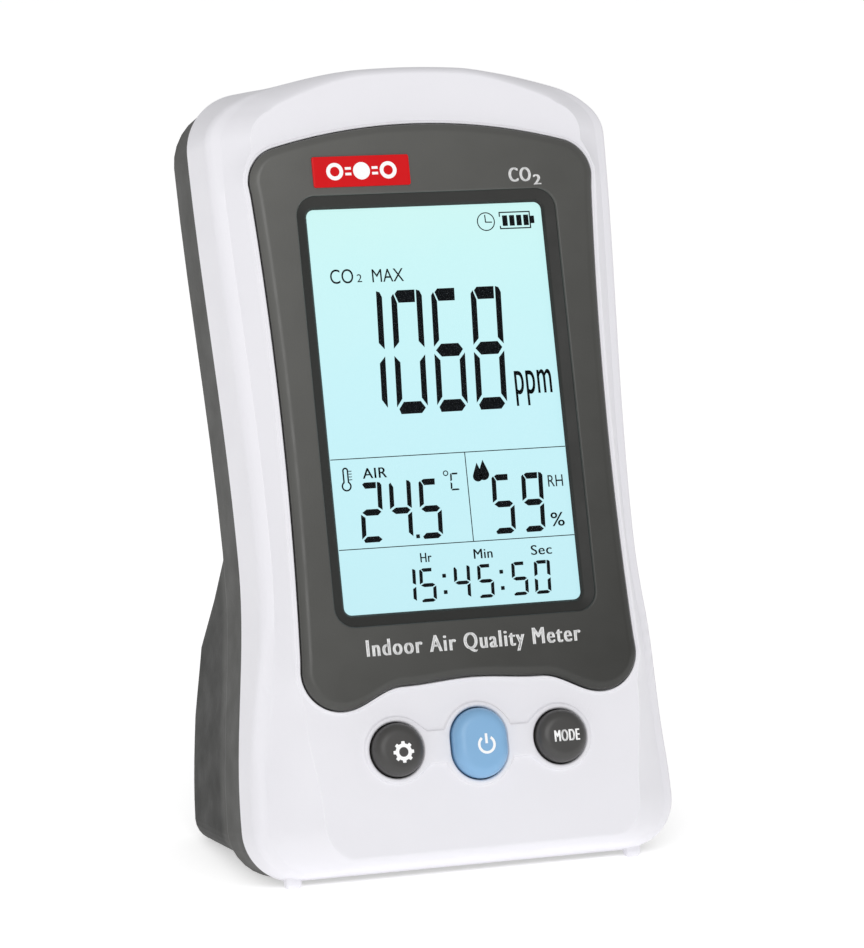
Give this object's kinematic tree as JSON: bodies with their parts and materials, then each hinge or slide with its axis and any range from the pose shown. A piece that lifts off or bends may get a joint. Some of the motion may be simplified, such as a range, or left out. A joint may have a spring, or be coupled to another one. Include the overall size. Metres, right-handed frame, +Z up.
{
  "type": "carbon dioxide monitor",
  "caption": "Desktop carbon dioxide monitor: a waisted white shell that leans on its grey rear bulge, with a dark display panel and sprung keys.",
  "frame": {"origin": "on the surface the monitor stands on, under the centre of its bounding box", "axes": "+X to the right as you read the display, +Y backwards, +Z up; the face leans back by 17.4 degrees about X"},
  "size_m": [0.087, 0.0732, 0.1531],
  "materials": {
    "shell": "fine satin ABS, cool white",
    "panel": "fine spark-eroded matte, warm dark grey",
    "lens": "clear flat window",
    "lcd": "lit pale cyan display with black segments",
    "connector_rubber": "elastomer strip",
    "light_guide": "milky light guide",
    "tray": "plain moulded",
    "badge": "glossy printed red",
    "dark_key": "soft satin dark grey",
    "blue_key": "soft satin light blue",
    "black_nylon": "moulded nylon",
    "tin_plate": "tin plated",
    "circuit_board": "green solder mask over glass fibre",
    "zinc_steel": "zinc plated",
    "chip_black": "moulded epoxy",
    "gold_plate": "thin gold plating",
    "filter_cloth": "white porous membrane",
    "rear_grey": "fine spark-eroded matte, dark grey",
    "cell_sleeve": "heat-shrink sleeve",
    "label_foil": "blank printed foil, no lettering"
  },
  "bodies": {
    "housing": {"front_shell": "shell", "display_bezel": "panel", "display_lens": "lens", "lcd_glass": "lcd", "lcd_connectors": "connector_rubber", "lcd_backlight": "light_guide", "lcd_tray": "tray", "badge": "badge", "key_switches": "tin_plate", "main_board": "circuit_board", "board_screws": "zinc_steel", "controller_chip": "chip_black", "co2_sensor": "gold_plate", "sensor_filter": "filter_cloth", "humidity_sensor": "chip_black", "sounder": "black_nylon", "usb_port": "tin_plate", "rear_case": "rear_grey", "battery_cell": "cell_sleeve", "contact_plate": "tin_plate", "contact_spring": "tin_plate", "case_screws": "zinc_steel", "rating_label": "label_foil"},
    "settings_key": {"settings_button": "dark_key", "settings_plunger": "black_nylon"},
    "power_key": {"power_button": "blue_key", "power_plunger": "black_nylon"},
    "mode_key": {"mode_button": "dark_key", "mode_plunger": "black_nylon"},
    "door": {"battery_door": "rear_grey"}
  },
  "joints": [
    {"name": "settings_press", "type": "slide", "parent": "housing", "child": "settings_key", "axis": [0, 0.9542, -0.299], "range_m": [0, 0.0008], "stiffness_N_per_m": 1200, "springref_m": -0.0003},
    {"name": "power_press", "type": "slide", "parent": "housing", "child": "power_key", "axis": [0, 0.9542, -0.299], "range_m": [0, 0.0008], "stiffness_N_per_m": 1200, "springref_m": -0.0003},
    {"name": "mode_press", "type": "slide", "parent": "housing", "child": "mode_key", "axis": [0, 0.9542, -0.299], "range_m": [0, 0.0008], "stiffness_N_per_m": 1200, "springref_m": -0.0003},
    {"name": "door_hinge", "type": "hinge", "parent": "housing", "child": "door", "pos_m": [0, 0.01935, 0.00379], "axis": [-1, 0, 0], "range_deg": [0, 75]}
  ]
}
